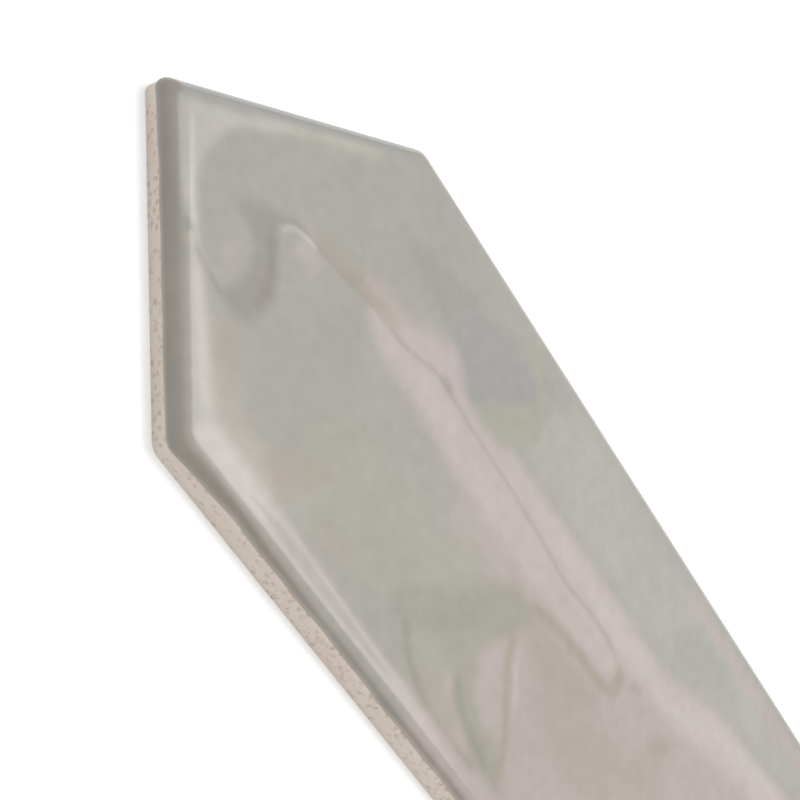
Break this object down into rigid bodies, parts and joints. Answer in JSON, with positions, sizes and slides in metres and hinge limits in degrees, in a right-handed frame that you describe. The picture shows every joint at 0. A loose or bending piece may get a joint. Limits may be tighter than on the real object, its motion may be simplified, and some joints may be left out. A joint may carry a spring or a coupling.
{
  "type": "picket wall tile",
  "caption": "Long glazed ceramic wall tile with a pointed tip at each end, a rounded rim, a softly rippled glossy face and a keyed back.",
  "frame": {"origin": "middle of the back, at the lowest level", "axes": "+X along the tile's length, +Y across its width, +Z out of the glazed face"},
  "size_m": [0.3, 0.075, 0.0064],
  "materials": {
    "glazed_tile": "glossy warm grey glaze over a matt beige biscuit"
  },
  "bodies": {
    "root": {"tile": "glazed_tile"}
  },
  "joints": []
}
